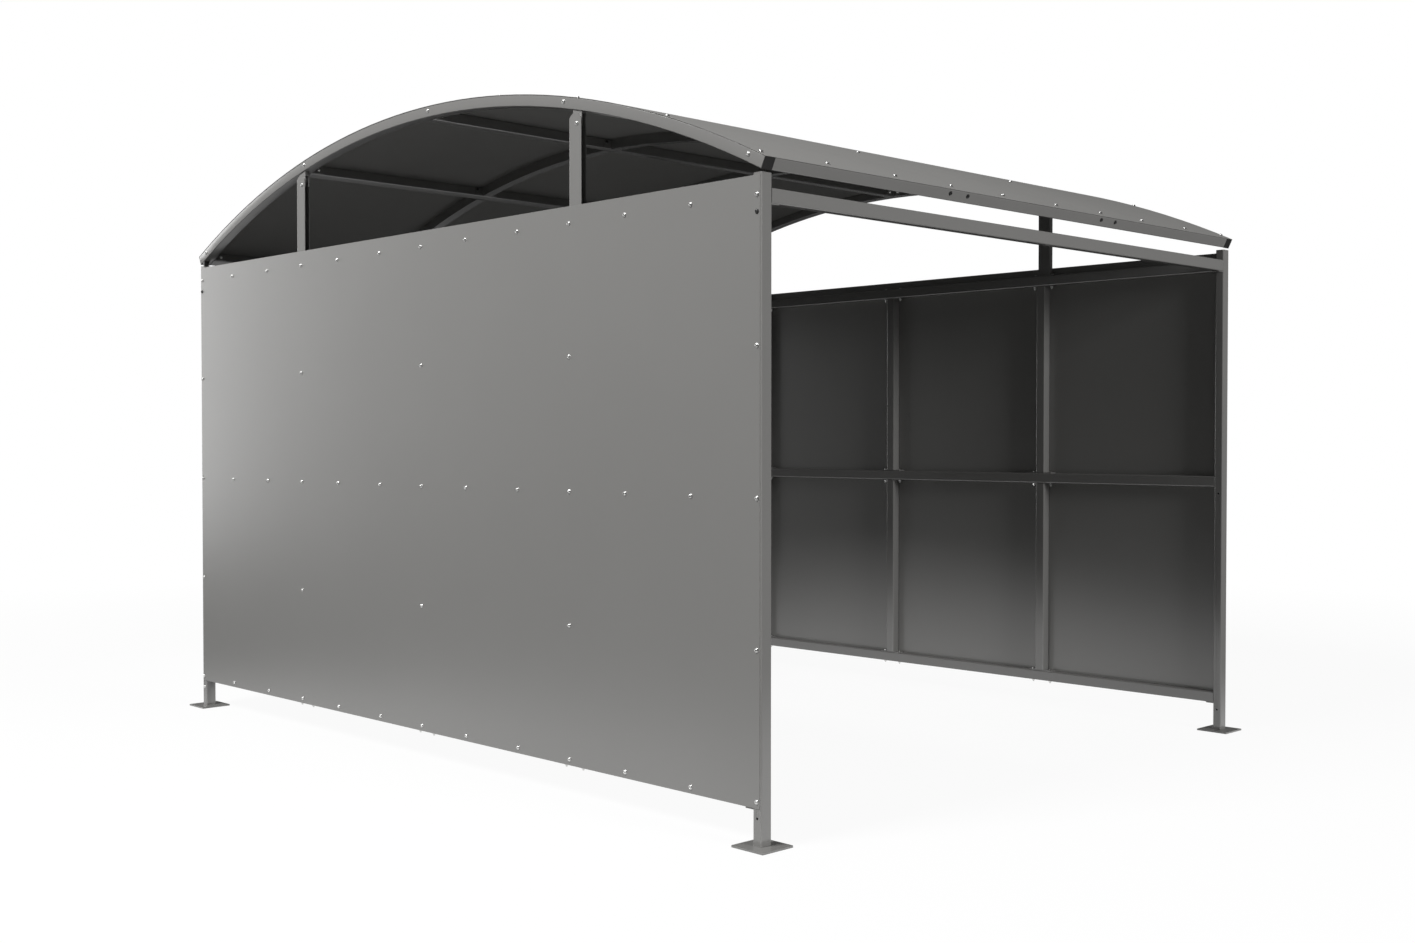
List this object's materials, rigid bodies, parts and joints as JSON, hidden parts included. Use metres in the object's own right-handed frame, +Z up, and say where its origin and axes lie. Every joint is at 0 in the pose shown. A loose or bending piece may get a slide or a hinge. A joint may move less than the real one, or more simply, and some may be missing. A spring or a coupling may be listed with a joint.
{
  "type": "shopping cart shelter",
  "caption": "Open-ended shopping cart shelter: bolted steel tube frame, plain sheet side walls with open gables, barrel roof on rolled arches, square base plates.",
  "frame": {"origin": "on the ground, in the middle of the four base plates", "axes": "+Z up, +Y from the open front to the rear along the side walls, +X across the entrance to the right"},
  "size_m": [3.28, 4.15, 2.7947],
  "materials": {
    "frame_paint": "satin warm grey paint on rounded tube",
    "panel_paint": "satin warm grey paint on flat sheet, slightly reflective",
    "roof_paint": "satin warm grey paint on curved sheet",
    "bracket_steel": "dark grey paint on folded brackets",
    "cap_plastic": "black moulded end caps",
    "bolt_zinc": "bright zinc plating on bolts"
  },
  "bodies": {
    "root": {"front_left_post": "frame_paint", "front_left_base_plate": "frame_paint", "front_left_tall_post": "frame_paint", "rear_left_post": "frame_paint", "rear_left_base_plate": "frame_paint", "rear_left_tall_post": "frame_paint", "left_post_caps": "frame_paint", "left_bottom_rail": "frame_paint", "left_middle_rail": "frame_paint", "left_top_rail": "frame_paint", "left_rail_shelf_tabs": "frame_paint", "left_mullion_1": "frame_paint", "left_mullion_2": "frame_paint", "left_mullion_3": "frame_paint", "left_gable_arch": "frame_paint", "left_yokes": "frame_paint", "left_purlin_cleats": "frame_paint", "left_wall_panel": "panel_paint", "left_arch_end_caps": "cap_plastic", "front_right_post": "frame_paint", "front_right_base_plate": "frame_paint", "front_right_tall_post": "frame_paint", "rear_right_post": "frame_paint", "rear_right_base_plate": "frame_paint", "rear_right_tall_post": "frame_paint", "right_post_caps": "frame_paint", "right_bottom_rail": "frame_paint", "right_middle_rail": "frame_paint", "right_top_rail": "frame_paint", "right_rail_shelf_tabs": "frame_paint", "right_mullion_1": "frame_paint", "right_mullion_2": "frame_paint", "right_mullion_3": "frame_paint", "right_gable_arch": "frame_paint", "right_yokes": "frame_paint", "right_purlin_cleats": "frame_paint", "right_wall_panel": "panel_paint", "right_arch_end_caps": "cap_plastic", "front_header": "frame_paint", "rear_header": "frame_paint", "header_shelf_tabs": "frame_paint", "front_eave_purlin": "frame_paint", "front_purlin": "frame_paint", "ridge_purlin": "frame_paint", "rear_purlin": "frame_paint", "rear_eave_purlin": "frame_paint", "rafter_line_1": "frame_paint", "rafter_line_2": "frame_paint", "roof_sheet": "roof_paint", "rear_arch_brackets": "bracket_steel"}
  },
  "joints": []
}
